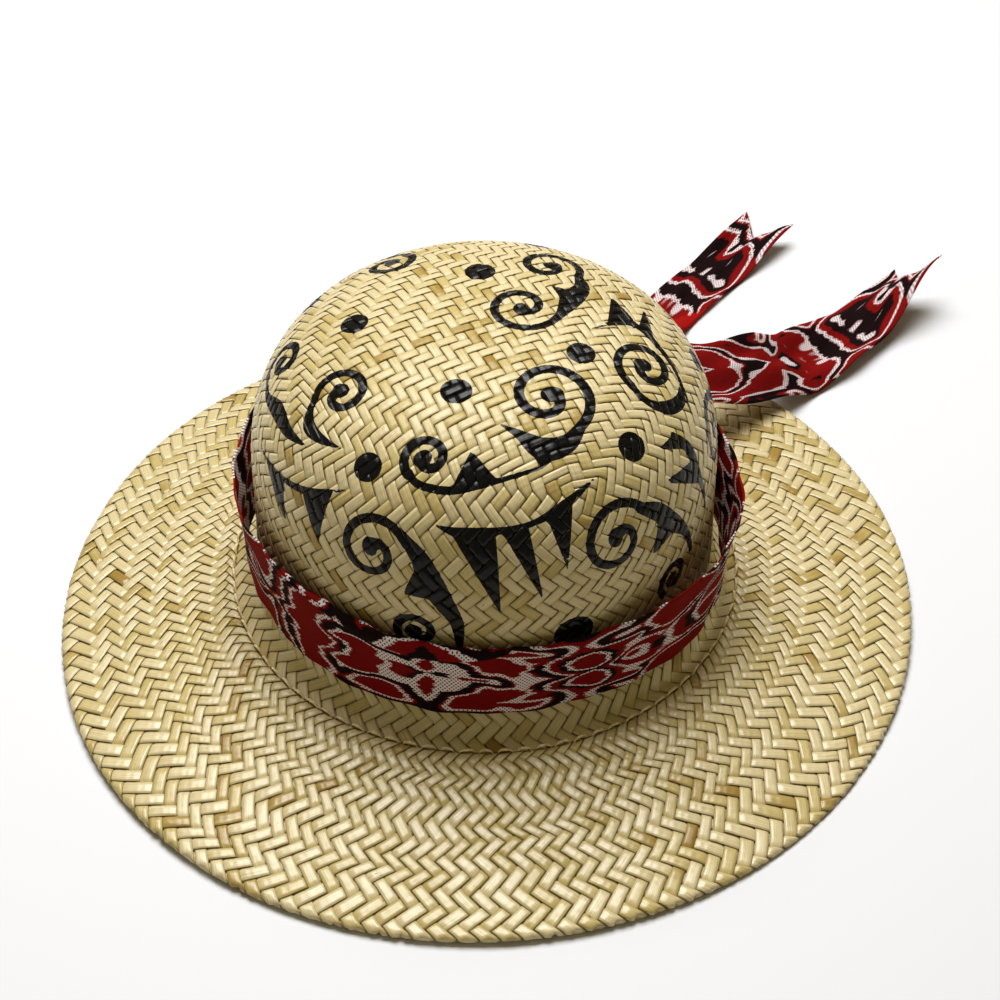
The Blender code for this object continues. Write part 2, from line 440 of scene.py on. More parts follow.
def crownStrip(family, index):
    # one straw strip from the seam, over the top and down to the seam again; sides has the
    # side that it ends on and the side that it starts on
    rowsDown = (seamLength - squareFoot) / crownWeave["rowHeight"]
    lastRow = int(round(2 * (halfSide + rowsDown)))
    cells = np.arange(-4 * turnSteps, 4 * turnSteps)
    if family == "left":
        x, y = (index + 1 + cells) / 2, (index - cells) / 2
        sides = (0, 1) if index >= 0 else (3, 2)
    else:
        x, y = (cells + index + 1) / 2, (cells - index) / 2
        sides = (0, 3) if index >= 0 else (1, 2)
    row = np.rint(2 * np.maximum(np.abs(x), np.abs(y))).astype(int)
    kept = row <= lastRow
    cells, x, y, row = cells[kept], x[kept], y[kept], row[kept]
    inSquare = row <= 2 * halfSide
    middle = np.nonzero(inSquare)[0]
    wideSide = np.where(inSquare, np.abs(x) > np.abs(y), False)
    order = np.arange(len(cells))
    high = order > middle[-1]
    low = order < middle[0]
    wideSide = np.where(high, sides[0] % 2 == 0, np.where(low, sides[1] % 2 == 0, wideSide))
    first = wideSide if family == "left" else ~wideSide
    over = np.where(first, (row % 4) < 2, (row % 4) >= 2)
    rise = np.append(floatHeights(np.where(over, 1, -1)), 0)
    along = np.append((cells[:, None] + alongSteps[None, :]).ravel(), cells[-1] + 0.5)
    part = np.repeat(np.where(low, -1, np.where(high, 1, 0)), len(alongSteps))
    part = np.append(part, 1 if high[-1] else 0)

    def place(at, across):
        if family == "left":
            px, py = (index + 1 + at) / 2 + across / 2, (index - at) / 2 + across / 2
        else:
            px, py = (at + index + 1) / 2 + across / 2, (at - index) / 2 - across / 2
        length, angle = placeOnTop(px, py)
        for which, side in ((1, sides[0]), (-1, sides[1])):
            p, d = sideOf[side](px, py)
            sideLength, sideAngle = placeNearSide(p, np.maximum(d, 0.5))
            here = np.broadcast_to((part == which)[:, None], length.shape)
            length = np.where(here, sideLength, length)
            angle = np.where(here, sideAngle, angle)
        return np.minimum(length, seamLength), angle

    return along, rise, place


def makeCrownWeave(material):
    pieces = []
    half = int(2 * halfSide)
    for family in ("left", "right"):
        for part, first, last in (("front", -half, 0), ("back", 0, half)):
            group = StripSet("crown_straw_" + family + "_" + part)
            for index in range(first, last):
                along, rise, place = crownStrip(family, index)
                cover = weave["cover"] + weave["coverSpread"] * chance.uniform(-1, 1)
                ring = stripRing(place, along, rise, cover)
                group.add(ring, chance.uniform(0, 1), chance.uniform(0, weave["uvSlide"]))
            pieces.append(group.build(material, painted=True))
    return pieces


def placeOnBrim(p, d):
    length = seamLength + brimWeave["start"] + (brimWeave["rowHeight"] + brimWeave["rowGrowth"] * d) * d
    angle = 2 * math.pi * p / brimWeave["strips"]
    wave = sum(np.sin(count * angle + drift * d + start) for count, drift, start in brimWeave["waves"])
    fade = np.clip(d, 0, 1)
    return length + brimWeave["wobble"] * brimWeave["rowHeight"] * wave * fade, angle


def makeBrimWeave(material):
    total = edgeLength - seamLength + hatShape["hemWidth"]
    first, growth = brimWeave["rowHeight"], brimWeave["rowGrowth"]
    lastRow = int((math.sqrt(first ** 2 + 4 * growth * total) - first) / growth) - 1
    rows = np.arange(0, lastRow + 1)
    pieces = []
    for family, lean in (("left", 1), ("right", -1)):
        group = StripSet("brim_straw_" + family)
        over = np.where((rows % 4) < 2, 1, -1) * lean
        rise = np.append(floatHeights(over), 0)
        along = np.append((rows[:, None] + alongSteps[None, :]).ravel(), rows[-1] + 0.5)
        for index in range(brimWeave["strips"]):
            def place(at, across, index=index, lean=lean):
                # the strip's line is p + lean * d = index + 1/2
                d = at / 2 + across / 2 * lean
                p = index + 0.5 - lean * at / 2 + across / 2
                return placeOnBrim(p, np.maximum(d, 0))
            cover = weave["cover"] + weave["coverSpread"] * chance.uniform(-1, 1)
            ring = stripRing(place, along, rise, cover)
            group.add(ring, chance.uniform(0, 1), chance.uniform(0, weave["uvSlide"]))
        pieces.append(group.build(material))
    return pieces


# painted scrolls, thorns and dots

brushWork = {
    "lineWidth": 0.00175,        # half the width of a scroll's line
    "tipWidth": 0.00015,
    "reach": 0.060,              # how far from its middle a motif can go
    "winding": 0.86,             # how tightly the scrolls are wound
    "innerRadius": 0.0012,
    "blobFrom": 0.92,            # share of the scroll where the blob starts
    "blobWidth": 1.7,
    "edge": 0.009,               # how far outside a shape its edge is worked out
}
farFromPaint = 0.004
paintHeight = 0.0006             # above the middle of the woven sheet


def scroll(middle, radius, start, turns, hand, width=None):
    # a spiral line that starts outside at the angle start and ends in a round blob
    width = width or brushWork["lineWidth"]
    share = np.linspace(0, 1, 44)
    size = radius * (1 - share) ** 0.8 + brushWork["innerRadius"] * share
    angle = np.radians(start + hand * 360 * turns * brushWork["winding"] * share)
    line = np.stack([middle[0] + size * np.cos(angle), middle[1] + size * np.sin(angle)], 1)
    halfWidth = np.where(share > brushWork["blobFrom"], width * brushWork["blobWidth"], width)
    return [("line", line, halfWidth)]


def brush(*points):
    # a line through points (right, up, half width), all in millimetres
    points = np.array(points, float) / 1000
    steps = np.linspace(0, len(points) - 1, 8 * len(points))
    knots = np.arange(len(points))
    smooth = [catmull(knots, points[:, k], steps) for k in range(3)]
    return [("line", np.stack(smooth[:2], 1), np.maximum(smooth[2], brushWork["tipWidth"]))]


def catmull(knots, values, steps):
    slope = np.gradient(values)
    low = np.clip(steps.astype(int), 0, len(knots) - 2)
    t = steps - low
    a, b = values[low], values[low + 1]
    return (a * (1 + 2 * t) * (1 - t) ** 2 + b * t ** 2 * (3 - 2 * t)
            + slope[low] * t * (1 - t) ** 2 - slope[low + 1] * t ** 2 * (1 - t))


def thorn(*corners):
    return [("thorn", np.array(corners, float) / 1000, None)]


def dot(radius):
    return [("line", np.zeros((2, 2)), np.full(2, radius / 1000))]


def curl(right, up, radius, start, turns, hand, width=None):
    return scroll((right / 1000, up / 1000), radius / 1000, start, turns, hand, width)


doubleScroll = (
    curl(-26, 0, 9, 215, 1.35, -1)
    + brush((-33, -4, 1.3), (-30, -9, 1.4), (-19, -13, 1.5), (-5, -12, 1.1), (12, -8, 0.7), (16, -6, 0.3))
    + thorn((-18, -12), (-1, -12), (-10, 1))
    + brush((1, 11, 0.2), (8, 6, 2.0), (16, 0, 4.6), (25, 2, 3.6), (31, 9, 1.9))
    + thorn((9, 4), (24, 0), (15, -8))
    + curl(20, 22, 17, -52, 1.5, 1, 0.0020)
)
hookScroll = (
    curl(-4, 1, 11.5, 232, 1.45, -1)
    + brush((-11, -8, 1.3), (-9, -12, 1.8), (-4, -16, 2.6), (4, -16, 1.8), (14, -13, 0.3))
)
longHook = (
    curl(-9, -2, 10, 265, 1.35, -1)
    + brush((-10, -12, 1.0), (2, -12, 1.6), (14, -7, 3.4), (27, -4, 2.2), (38, 2, 0.3))
)
leafScroll = (
    curl(-7, 3, 14, 42, 1.5, 1)
    + brush((3, 13, 1.9), (11, 6, 3.4), (16, -3, 4.8), (21, -12, 4.2), (26, -22, 2.6), (27, -35, 1.2))
    + thorn((10, 0), (16, -12), (6, -12))
)
thornRow = (
    brush((-26, 4, 0.3), (-20, 1.6, 1.6), (-11, 1, 1.6), (0, 1, 1.3),
          (10, 3, 1.2), (21, 8, 1.9), (33, 16, 0.3))
    + thorn((-21, 1), (-5, 1), (-4, -33))
    + thorn((-3, 1), (7, 2), (12, -29))
    + thorn((14, 4), (24, 9), (21, -17))
)
smallThornRow = (
    brush((-34, -1, 0.3), (-23, -2, 1.1), (-10, -1, 1.2), (4, 3, 1.4), (20, 13, 0.3))
    + thorn((-25, -2), (-10, -1), (-4, -18))
    + thorn((1, 2), (15, 10), (15, -14))
)
twinScroll = (
    curl(17, -9, 13, 208, 1.4, 1)
    + brush((6, -15, 1.5), (-2, -10, 3.2), (-6, -2, 4.6), (-10, 5, 3.0), (-13, 11, 1.5))
    + thorn((-7, -7), (-8, 4), (5, 0))
    + curl(0, 18, 14.5, 212, 1.5, -1)
)
openHook = (
    curl(1, 1, 13, 163, 1.5, -1)
    + brush((-12, 5, 1.4), (-15, -4, 1.7), (-11, -12, 2.8), (-3, -16, 2.4), (4, -14, 0.4))
)
ribThorns = (
    brush((-12, 24, 0.4), (-9, 14, 1.1), (-10, 6, 1.3), (-16, 1, 1.5),
          (-24, -3, 1.3), (-34, -7, 1.0), (-46, -10, 0.4))
    + thorn((-11, 18), (-10, 4), (8, 9))
    + thorn((-12, 5), (-20, 0), (3, -4))
)
crestScroll = (
    curl(-9, 5, 15, 36, 1.5, 1)
    + brush((3, 13, 2.0), (11, 7, 3.6), (19, -3, 3.6), (27, -13, 2.0), (32, -26, 1.3))
    + thorn((11, 5), (20, -6), (6, -11))
    + curl(20, -31, 8.5, 225, 1.3, -1)
)
sideThorns = (
    brush((1, 16, 1.2), (5, 6, 2.6), (5, -4, 2.4), (8, -16, 1.4), (11, -30, 0.3))
    + thorn((0, 16), (7, 5), (-10, 17))
    + thorn((4, 2), (5, -10), (-16, 6))
)

# direction round the crown in degrees, millimetres down from the top, motif
paintedMotifs = (
    (275, 62, doubleScroll), (213, 62, hookScroll), (185, 79, longHook), (247, 109, leafScroll),
    (254, 139, curl(0, 0, 8.5, 215, 1.3, -1)), (276, 92, thornRow), (218, 100, smallThornRow),
    (38, 37, twinScroll), (131, 64, hookScroll), (346, 65, openHook), (18, 64, ribThorns),
    (309, 111, crestScroll), (331, 101, sideThorns), (357, 112, leafScroll), (60, 104, crestScroll),
    (98, 84, thornRow), (95, 128, curl(0, 0, 9, 20, 1.4, 1)), (133, 112, leafScroll),
    (165, 110, smallThornRow), (28, 118, thornRow), (92, 35, dot(6)), (172, 50, dot(5.6)),
    (254, 37, dot(6)), (339, 39, dot(5.6)), (235, 77, dot(5.6)), (317, 77, dot(5.8)),
    (291, 143, dot(8)), (72, 74, dot(5.6)), (150, 84, dot(5.6)), (8, 92, dot(5.4)),
)


def lineDistance(place, line, halfWidth):
    best = np.full(len(place), 1.0)
    for a, b, wa, wb in zip(line[:-1], line[1:], halfWidth[:-1], halfWidth[1:]):
        way = b - a
        share = np.clip(((place - a) @ way) / max(way @ way, 1e-12), 0, 1)
        gap = np.linalg.norm(place - a - share[:, None] * way, axis=1)
        best = np.minimum(best, gap - (wa + (wb - wa) * share))
    return best


def thornDistance(place, corners):
    worst = np.full(len(place), -1.0)
    area = np.cross(corners[1] - corners[0], corners[2] - corners[0])
    for k in range(3):
        way = corners[(k + 1) % 3] - corners[k]
        outward = np.array([way[1], -way[0]]) * np.sign(area) / np.linalg.norm(way)
        worst = np.maximum(worst, (place - corners[k]) @ outward)
    return worst


def paintDistance(points):
    # distance outside the painted shapes, negative in the paint
    result = np.full(len(points), farFromPaint)
    for angle, down, motif in paintedMotifs:
        at = math.radians(angle)
        middle = skinPoint(np.array(down / 1000), np.array(at), paintHeight)
        above = skinPoint(np.array(down / 1000 - 0.002), np.array(at), paintHeight)
        right = np.array([-math.sin(at), math.cos(at), 0])
        up = (above - middle) / np.linalg.norm(above - middle)
        near = np.nonzero(np.linalg.norm(points - middle, axis=1) < brushWork["reach"])[0]
        offset = points[near] - middle
        local = np.stack([offset @ right, offset @ up], 1)
        gap = np.full(len(near), farFromPaint)
        for kind, shape, halfWidth in motif:
            low, high = shape.min(0) - brushWork["edge"], shape.max(0) + brushWork["edge"]
            close = np.all((local > low) & (local < high), axis=1)
            if kind == "line":
                gap[close] = np.minimum(gap[close], lineDistance(local[close], shape, halfWidth))
            else:
                gap[close] = np.minimum(gap[close], thornDistance(local[close], shape))
        result[near] = np.minimum(result[near], gap)
    return result


# materials

strawFinish = {
    "pale": (0.71, 0.62, 0.40),
    "middle": (0.58, 0.482, 0.225),
    "dark": (0.39, 0.265, 0.075),
    # painted shade at the strips' edges, where they turn under
    "edge": (0.16, 0.10, 0.025),
    "roughness": 0.27,
    "gloss": 0.42,
    "coat": 0.30,
    "coatRoughness": 0.14,
    "dents": 5.0,                # uneven straw, next to its fibres
    "streakDark": (0.66, 0.58, 0.40),
    "streakPale": (1.06, 1.05, 1.02),
    "fleck": (0.22, 0.12, 0.035),
    "paint": (0.003, 0.003, 0.004),
    "thinPaint": (0.013, 0.012, 0.012),
}
paintedFinish = {**strawFinish, "gloss": 0.25, "coat": 0.11}


def newMaterial(name, roughness):
    material = bpy.data.materials.new(name)
    material.use_nodes = True
    shader = material.node_tree.nodes["Principled BSDF"]
    shader.inputs["Roughness"].default_value = roughness
    return material, material.node_tree, shader


def calculate(tree, operation, first, second=None, third=None):
    # a maths node; numbers are typed in and sockets are linked
    node = tree.nodes.new("ShaderNodeMath")
    node.operation = operation
    for socket, value in zip(node.inputs, (first, second, third)):
        if value is None:
            continue
        if isinstance(value, (int, float)):
            socket.default_value = value
        else:
            tree.links.new(value, socket)
    return node.outputs[0]


def blendColours(tree, factor, first, second, mode="MIX"):
    node = tree.nodes.new("ShaderNodeMix")
    node.data_type = "RGBA"
    node.blend_type = mode
    for name, value in (("Factor", factor), ("A", first), ("B", second)):
        socket = node.inputs[name]
        if isinstance(value, (int, float)):
            socket.default_value = value
        elif isinstance(value, tuple):
            socket.default_value = (*value, 1)
        else:
            tree.links.new(value, socket)
    return node.outputs["Result"]


def noiseField(tree, vector, scale, detail=2.0, distortion=0.0):
    stretch = tree.nodes.new("ShaderNodeMapping")
    stretch.inputs["Scale"].default_value = scale
    tree.links.new(vector, stretch.inputs["Vector"])
    noise = tree.nodes.new("ShaderNodeTexNoise")
    noise.inputs["Scale"].default_value = 1.0
    noise.inputs["Detail"].default_value = detail
    noise.inputs["Distortion"].default_value = distortion
    tree.links.new(stretch.outputs["Vector"], noise.inputs["Vector"])
    return noise.outputs["Fac"]


def ramp(tree, value, *stops):
    node = tree.nodes.new("ShaderNodeValToRGB")
    elements = node.color_ramp.elements
    while len(elements) < len(stops):
        elements.new(0.5)
    for element, (position, colour) in zip(elements, stops):
        element.position = position
        element.color = (*colour, 1) if len(colour) == 3 else colour
    tree.links.new(value, node.inputs["Fac"])
    return node.outputs["Color"]


def stripPlace(tree, layer):
    # the position along and across a strip, whole and in its parts
    place = tree.nodes.new("ShaderNodeUVMap")
    place.uv_map = layer
    parts = tree.nodes.new("ShaderNodeSeparateXYZ")
    tree.links.new(place.outputs["UV"], parts.inputs[0])
    return place.outputs["UV"], parts.outputs["X"], parts.outputs["Y"]


def pointValue(tree, name):
    value = tree.nodes.new("ShaderNodeAttribute")
    value.attribute_name = name
    return value.outputs["Fac"]


def addBump(tree, shader, height, strength, distance):
    bump = tree.nodes.new("ShaderNodeBump")
    bump.inputs["Strength"].default_value = strength
    bump.inputs["Distance"].default_value = distance
    tree.links.new(height, bump.inputs["Height"])
    tree.links.new(bump.outputs["Normal"], shader.inputs["Normal"])


def repeating(tree, value, pitch):
    # a sine that repeats at this pitch
    return calculate(tree, "SINE", calculate(tree, "MULTIPLY", value, 2 * math.pi / pitch))


def strawMaterial(name, finish, painted=False):
    material, tree, shader = newMaterial(name, finish["roughness"])
    shader.inputs["Specular IOR Level"].default_value = finish["gloss"]
    shader.inputs["Coat Weight"].default_value = finish["coat"]
    shader.inputs["Coat Roughness"].default_value = finish["coatRoughness"]
    place, along, across = stripPlace(tree, "strip")
    fibre = noiseField(tree, place, (45, 4200, 1), 3.0)
    patch = noiseField(tree, place, (38, 60, 1), 2.0)
    fleck = noiseField(tree, place, (260, 1100, 1), 1.0)
    dents = noiseField(tree, place, (130, 240, 1), 1.0)
    # every strip has its own tone, with lighter and darker lengths
    level = calculate(tree, "MULTIPLY_ADD", patch, 0.5, pointValue(tree, "tone"))
    level = calculate(tree, "SUBTRACT", level, 0.22)
    tones = ((0.0, finish["dark"]), (0.11, finish["middle"]), (0.50, finish["pale"]))
    colour = ramp(tree, level, *tones)
    streak = ramp(tree, fibre, (0.30, finish["streakDark"]), (0.62, finish["streakPale"]))
    colour = blendColours(tree, 0.75, colour, streak, "MULTIPLY")
    # painted shade along the strip's edges where they turn under, and a few stained flecks
    edgeShade = calculate(tree, "ABSOLUTE", across)
    edgeShade = calculate(tree, "MULTIPLY_ADD", fibre, 0.0003, edgeShade)
    edgeShade = calculate(tree, "DIVIDE", edgeShade, weave["uvWidth"])
    edgeShade = ramp(tree, edgeShade, (0.49, (0, 0, 0)), (0.54, (0.8, 0.8, 0.8)))
    colour = blendColours(tree, edgeShade, colour, finish["edge"])
    spots = ramp(tree, fleck, (0.76, (0, 0, 0)), (0.82, (1, 1, 1)))
    colour = blendColours(tree, spots, colour, finish["fleck"])
    if painted:
        # brush edges run a little way along the fibres
        ragged = calculate(tree, "MULTIPLY_ADD", fibre, 0.5, pointValue(tree, "paintGap"))
        edge = calculate(tree, "SUBTRACT", ragged, 0.25)
        edge = calculate(tree, "MULTIPLY_ADD", edge, 3.0, 0.5)
        mask = ramp(tree, edge, (0.35, (1, 1, 1)), (0.65, (0, 0, 0)))
        paint = blendColours(tree, fibre, finish["paint"], finish["thinPaint"])
        colour = blendColours(tree, mask, colour, paint)
    tree.links.new(colour, shader.inputs["Base Color"])
    height = calculate(tree, "MULTIPLY_ADD", dents, finish["dents"], fibre)
    addBump(tree, shader, height, 0.45, 0.0002)
    return material


threadFinish = {"colour": (0.90, 0.79, 0.52), "dark": (0.66, 0.50, 0.26), "roughness": 0.6}


def threadMaterial(finish):
    material, tree, shader = newMaterial("stitching_thread", finish["roughness"])
    place = tree.nodes.new("ShaderNodeTexCoord")
    twist = noiseField(tree, place.outputs["Object"], (900, 900, 900), 2.0)
    colour = ramp(tree, twist, (0.3, finish["dark"]), (0.6, finish["colour"]))
    tree.links.new(colour, shader.inputs["Base Color"])
    addBump(tree, shader, twist, 0.5, 0.0001)
    return material


printFinish = {
    "red": (0.270, 0.006, 0.005),
    "deepRed": (0.150, 0.004, 0.004),
    "white": (0.74, 0.66, 0.68),
    "black": (0.012, 0.003, 0.004),
    "plainRed": (0.33, 0.008, 0.006),
    "dot": (0.10, 0.03, 0.035),
    "roughness": 0.8,
    "gloss": 0.12,
    "middle": 0.0175,            # the line that the figures mirror about
    "figureLength": 0.054,       # repeat of the figures along the strip
    "figureWidth": 0.0190,
    "feather": 0.0050,           # how far single yarns slip along the strip
    "wander": 0.010,
    "curving": 2.4,
    "whiteLines": ((1.36, 1.50), (1.88, 2.00), (2.28, 2.40)),
    "blackShapes": ((1.50, 1.68), (2.00, 2.22)),
    "dotPitch": 0.0017,
    "yarn": 0.0005,
}


def between(tree, value, low, high, soft):
    # 1 inside the two limits, 0 outside
    middle, half = (low + high) / 2, (high - low) / 2
    away = calculate(tree, "ABSOLUTE", calculate(tree, "SUBTRACT", value, middle))
    level = calculate(tree, "DIVIDE", calculate(tree, "SUBTRACT", half, away), soft)
    clipped = calculate(tree, "ADD", level, 0.5)
    clipped.node.use_clamp = True
    return clipped


def anyBand(tree, value, bands):
    # 1 inside any of the bands, each given by its two limits
    result = None
    for low, high in bands:
        band = between(tree, value, low, high, 0.02)
        result = band if result is None else calculate(tree, "MAXIMUM", result, band)
    return result


def printedCotton(name, finish):
    # a yarn-dyed look: figures whose ends are feathered along the length of the strip
    material, tree, shader = newMaterial(name, finish["roughness"])
    shader.inputs["Specular IOR Level"].default_value = finish["gloss"]
    place, along, across = stripPlace(tree, "cloth")
    # the figures mirror about the strip's middle and wander along it
    slip = noiseField(tree, place, (22, 0.85 / finish["yarn"], 1), 1.0)
    wander = noiseField(tree, place, (30, 50, 1), 0.0)
    slipped = calculate(tree, "MULTIPLY_ADD", slip, finish["feather"], along)
    fromMiddle = calculate(tree, "SUBTRACT", across, finish["middle"])
    mirrored = calculate(tree, "ABSOLUTE", fromMiddle)
    mirrored = calculate(tree, "MULTIPLY_ADD", wander, finish["wander"], mirrored)
    joined = tree.nodes.new("ShaderNodeCombineXYZ")
    tree.links.new(calculate(tree, "DIVIDE", slipped, finish["figureLength"]), joined.inputs["X"])
    tree.links.new(calculate(tree, "DIVIDE", mirrored, finish["figureWidth"]), joined.inputs["Y"])
    cells = tree.nodes.new("ShaderNodeTexVoronoi")
    cells.distance = "MANHATTAN"
    cells.inputs["Scale"].default_value = 1.25
    cells.inputs["Randomness"].default_value = 0.8
    tree.links.new(joined.outputs[0], cells.inputs["Vector"])
    curve = noiseField(tree, joined.outputs[0], (1.5, 1.5, 1), 0.0)
    figures = calculate(tree, "MULTIPLY_ADD", curve, finish["curving"], cells.outputs["Distance"])
    lines = anyBand(tree, figures, finish["whiteLines"])
    shadows = anyBand(tree, figures, finish["blackShapes"])
    patches = noiseField(tree, joined.outputs[0], (1.6, 1.3, 1), 0.5, 0.3)
    dark = calculate(tree, "MULTIPLY", shadows, between(tree, patches, 0.40, 2.0, 0.03))
    # fine dots where the red yarns of the other direction show through
    dotAlong = repeating(tree, along, finish["dotPitch"])
    dotAcross = repeating(tree, across, finish["dotPitch"])
    dots = calculate(tree, "MULTIPLY", dotAlong, dotAcross)
    dots = between(tree, dots, 0.42, 2.0, 0.25)
    yarns = noiseField(tree, place, (300, 2200, 1), 1.0)
    ground = blendColours(tree, yarns, finish["deepRed"], finish["red"])
    pale = blendColours(tree, dots, finish["white"], finish["dot"])
    colour = blendColours(tree, dark, ground, finish["black"])
    colour = blendColours(tree, lines, colour, pale)
    colour = blendColours(tree, pointValue(tree, "plain"), colour, finish["plainRed"])
    tree.links.new(colour, shader.inputs["Base Color"])
    warp = repeating(tree, along, finish["yarn"])
    weft = repeating(tree, across, finish["yarn"])
    addBump(tree, shader, calculate(tree, "MULTIPLY", warp, weft), 0.35, 0.0001)
    return material


tapeFinish = {"pale": (0.60, 0.52, 0.38), "dark": (0.42, 0.34, 0.22), "roughness": 0.85, "rib": 0.0012}


def tapeMaterial(finish):
    material, tree, shader = newMaterial("inner_tape", finish["roughness"])
    place, along, across = stripPlace(tree, "cloth")
    ribs = repeating(tree, calculate(tree, "ADD", along, across), finish["rib"])
    worn = noiseField(tree, place, (60, 90, 1), 3.0)
    level = calculate(tree, "MULTIPLY_ADD", ribs, 0.12, worn)
    colour = ramp(tree, level, (0.3, finish["dark"]), (0.65, finish["pale"]))
    tree.links.new(colour, shader.inputs["Base Color"])
    addBump(tree, shader, ribs, 0.4, 0.0002)
    return material


# stitches round the crown's foot

stitching = {
    "length": 0.0062,
    "pitch": 0.0074,
    "radius": 0.00042,
    "lift": 0.0025,              # height of a stitch over the straw
    "dive": 0.0002,              # depth of its ends
    "uneven": (0.88, 1.08),      # shortest and longest, over the length
    "lean": 0.0004,
}


def makeStitches(material):
    count = int(round(2 * math.pi * hatShape["seamRadius"] / stitching["pitch"]))
    points, faces = [], []
    around = np.linspace(0, 2 * math.pi, 7)[:-1]
    share = np.linspace(-0.5, 0.5, 7)
    rise = stitching["lift"] - (stitching["lift"] + stitching["dive"]) * (2 * share) ** 4
    for index in range(count):
        middle = 2 * math.pi * index / count
        span = stitching["length"] * chance.uniform(*stitching["uneven"])
        lean = chance.uniform(-stitching["lean"], stitching["lean"])
        angle = middle + share * span / hatShape["seamRadius"]
        length = seamLength + lean * 2 * share
        ring = []
        for a in around:
            side = length + stitching["radius"] * math.cos(a)
            ring.append(skinPoint(side, angle, rise + stitching["radius"] * math.sin(a)))
        quads, grid = tubeFaces(len(share), len(around), index * len(share) * len(around))
        points.append(np.stack(ring, 1).reshape(-1, 3))
        faces.append(quads)
        faces.append(np.array([grid[0][[0, 1, 2, 3]], grid[0][[0, 3, 4, 5]]]))
        faces.append(np.array([grid[-1][[3, 2, 1, 0]], grid[-1][[5, 4, 3, 0]]]))
    return meshPiece("seam_stitches", np.concatenate(points), np.concatenate(faces), material)


def meshPiece(name, points, faces, material):
    mesh = bpy.data.meshes.new(name)
    mesh.from_pydata(points, [], faces)
    mesh.shade_smooth()
    mesh.materials.append(material)
    piece = bpy.data.objects.new(name, mesh)
    bpy.context.scene.collection.objects.link(piece)
    return piece


# cloth strips


def layCloth(piece, run, across):
    # the place along and across the strip, for every corner of every face
    uv = []
    for row in range(len(run) - 1):
        for column in range(len(across) - 1):
            for r, c in ((row, column), (row, column + 1), (row + 1, column + 1), (row + 1, column)):
                uv.append((run[r], across[c]))
    layer = piece.data.uv_layers.new(name="cloth")
    layer.data.foreach_set("uv", np.array(uv, np.float32).ravel())


def clothStrip(name, grid, width, material, thickness, closed=False, plain=None):
    # grid is rows of points along the strip, each from one edge to the other
    rows, columns = grid.shape[:2]
    index = np.arange(rows * columns).reshape(rows, columns)
    middle = grid[:, columns // 2]
    if closed:
        index = np.concatenate([index, index[:1]])
        middle = np.concatenate([middle, middle[:1]])
    faces = np.stack([index[:-1, :-1], index[:-1, 1:], index[1:, 1:], index[1:, :-1]], -1)
    piece = meshPiece(name, grid.reshape(-1, 3), faces.reshape(-1, 4), material)
    run = np.concatenate([[0], np.cumsum(np.linalg.norm(np.diff(middle, axis=0), axis=1))])
    layCloth(piece, run, np.linspace(0, width, columns))
    if plain is not None:
        mark = piece.data.attributes.new("plain", "FLOAT", "POINT")
        mark.data.foreach_set("value", plain.astype(np.float32).ravel())
    solid = piece.modifiers.new("thickness", "SOLIDIFY")
    solid.thickness = thickness
    solid.offset = 0
    applyModifiers(piece)
    return piece


def applyModifiers(piece):
    graph = bpy.context.evaluated_depsgraph_get()
    shaped = piece.evaluated_get(graph)
    mesh = bpy.data.meshes.new_from_object(shaped, preserve_all_data_layers=True, depsgraph=graph)
    piece.modifiers.clear()
    piece.data = mesh
    mesh.shade_smooth()


def smoothBump(value, middle, width):
    # 1 at the middle, falling smoothly to 0 at width on either side, in degrees
    away = np.abs((value - middle + 180) % 360 - 180) / width
    return np.where(away < 1, 0.5 + 0.5 * np.cos(math.pi * np.clip(away, 0, 1)), 0)


def sumBumps(bumps, angle):
    return sum(size * smoothBump(angle, middle, width) for middle, width, size in bumps)


# each bump is its direction and its reach in degrees, and its size
clothBand = {
    "width": 0.037,
    "cutLength": 0.625,
    "thickness": 0.0007,
    "radius": 0.0957,
    "low": bandBox[0].z,
    "steps": 420,
    "columns": 25,
    "standOff": ((162, 46, 0.0034), (203, 34, 0.0030), (0, 44, 0.0050),
                 (330, 45, 0.0022), (262, 50, 0.0004), (110, 30, 0.0025)),
    "lowerStandOff": ((172, 46, 0.0016), (328, 48, 0.0042)),
    "dip": ((284, 24, 0.0014), (236, 44, -0.0022), (206, 40, -0.0058),
            (162, 36, -0.0045), (120, 40, -0.0010)),
    "flap": (208, 276),          # where the upper edge is turned over
    "flapWidth": 0.0065,
    "knotAngle": 50.0,
    "pinch": 20,                 # reach of the gathers at the knot
    "pinchShare": 0.28,
    "pinchRise": 0.0045,
}


